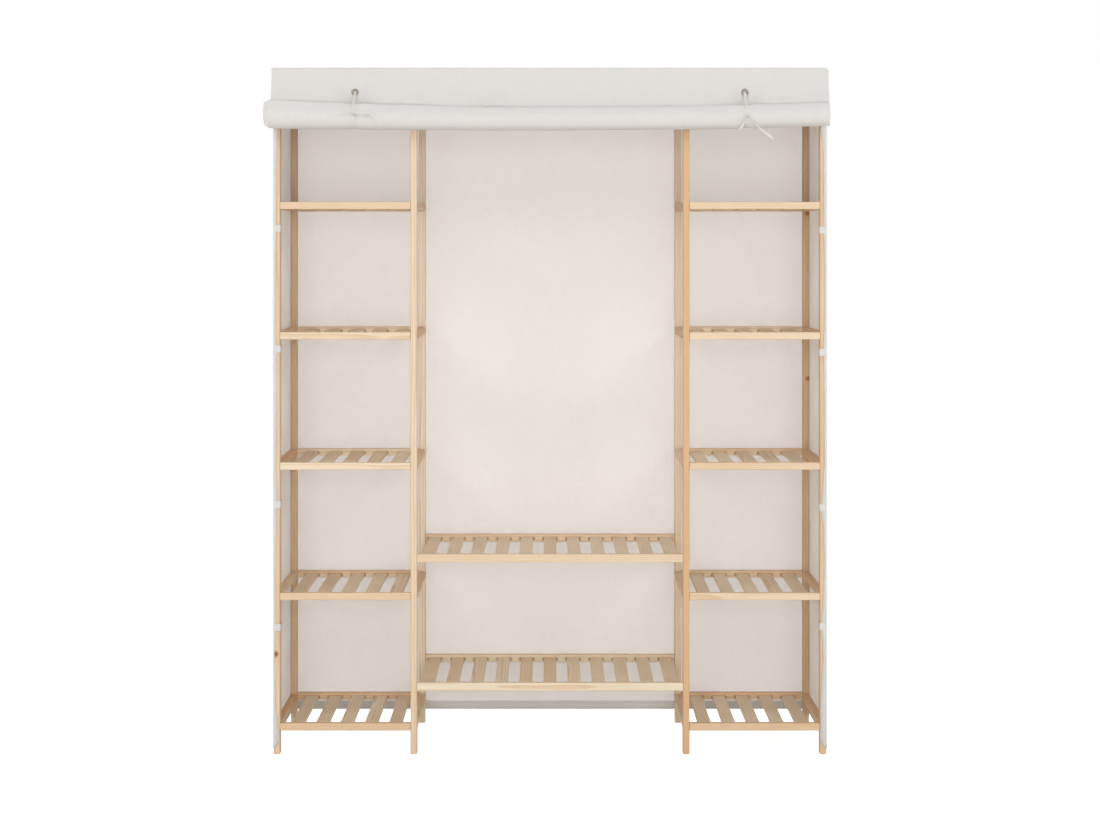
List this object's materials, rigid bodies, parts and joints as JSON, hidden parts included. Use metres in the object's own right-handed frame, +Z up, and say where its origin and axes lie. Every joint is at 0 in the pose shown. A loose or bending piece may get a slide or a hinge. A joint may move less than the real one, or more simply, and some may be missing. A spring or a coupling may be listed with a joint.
{
  "type": "portable fabric wardrobe",
  "caption": "Portable fabric wardrobe: slatted pine shelf towers either side of a hanging bay, in a sewn white cover whose front flap is rolled up and tied.",
  "frame": {"origin": "on the floor, under the middle of the object's box without the free ends of the ties", "axes": "+Z up, the open front faces -Y, +X to the right seen from the front"},
  "size_m": [1.374, 0.4673, 1.6776],
  "materials": {
    "pine": "satin",
    "canvas": "matte",
    "tape": "matte",
    "nickel": "satin"
  },
  "bodies": {
    "frame": {"post_front_outer_left": "pine", "post_front_inner_left": "pine", "post_front_inner_right": "pine", "post_front_outer_right": "pine", "post_back_outer_left": "pine", "post_back_inner_left": "pine", "post_back_inner_right": "pine", "post_back_outer_right": "pine", "rung_outer_left_1": "pine", "rung_outer_left_2": "pine", "rung_outer_left_3": "pine", "rung_outer_left_4": "pine", "rung_outer_left_5": "pine", "rung_outer_left_6": "pine", "rung_inner_left_1": "pine", "rung_inner_left_2": "pine", "rung_inner_left_3": "pine", "rung_inner_left_4": "pine", "rung_inner_left_5": "pine", "rail_bearer_left": "pine", "rung_inner_right_1": "pine", "rung_inner_right_2": "pine", "rung_inner_right_3": "pine", "rung_inner_right_4": "pine", "rung_inner_right_5": "pine", "rail_bearer_right": "pine", "rung_outer_right_1": "pine", "rung_outer_right_2": "pine", "rung_outer_right_3": "pine", "rung_outer_right_4": "pine", "rung_outer_right_5": "pine", "rung_outer_right_6": "pine", "top_rail_front": "pine", "top_rail_back": "pine", "side_shelf_left_1": "pine", "side_shelf_left_2": "pine", "side_shelf_left_3": "pine", "side_shelf_left_4": "pine", "side_shelf_left_5": "pine", "side_shelf_right_1": "pine", "side_shelf_right_2": "pine", "side_shelf_right_3": "pine", "side_shelf_right_4": "pine", "side_shelf_right_5": "pine", "middle_shelf_lower": "pine", "middle_shelf_upper": "pine", "cover_side_right": "canvas", "cover_side_left": "canvas", "cover_back": "canvas", "cover_top": "canvas"},
    "front_flap": {"front_flap": "canvas", "eyelet_left": "nickel", "tie_band_left": "tape", "tie_ends_left": "tape", "eyelet_right": "nickel", "tie_band_right": "tape", "tie_ends_right": "tape"},
    "hanging_rail": {"hanging_rail": "pine"}
  },
  "joints": [
    {"name": "front_flap_lift", "type": "hinge", "parent": "frame", "child": "front_flap", "pos_m": [0, -0.16905, 1.6779], "axis": [-1, 0, 0], "range_deg": [0, 235]},
    {"name": "hanging_rail_spin", "type": "hinge", "parent": "frame", "child": "hanging_rail", "pos_m": [0, 0.03155, 1.6147], "axis": [1, 0, 0], "continuous": true}
  ]
}
